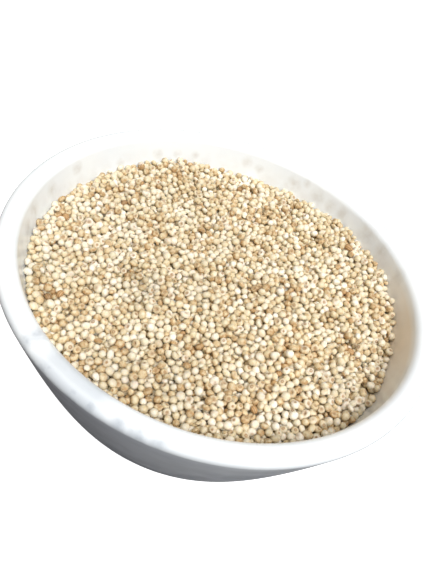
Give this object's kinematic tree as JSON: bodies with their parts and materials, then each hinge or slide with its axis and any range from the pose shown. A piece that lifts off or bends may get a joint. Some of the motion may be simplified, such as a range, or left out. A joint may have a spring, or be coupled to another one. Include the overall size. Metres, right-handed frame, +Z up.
{
  "type": "bowl of millet",
  "caption": "Small thick-walled white glazed bowl with a flat-topped lip and a low foot ring, filled to just under the rim with hulled kodo millet grains.",
  "frame": {"origin": "on the table, under the middle of the bowl", "axes": "+Z up along the bowl's axis, -Y towards the front from which the picture was taken, +X to the right"},
  "size_m": [0.12, 0.12, 0.0529],
  "materials": {
    "glaze": "glossy white glaze over a thick ceramic body",
    "grain": "dry cream to tan grains with a dull bran skin"
  },
  "bodies": {
    "root": {"bowl": "glaze", "millet": "grain"}
  },
  "joints": []
}
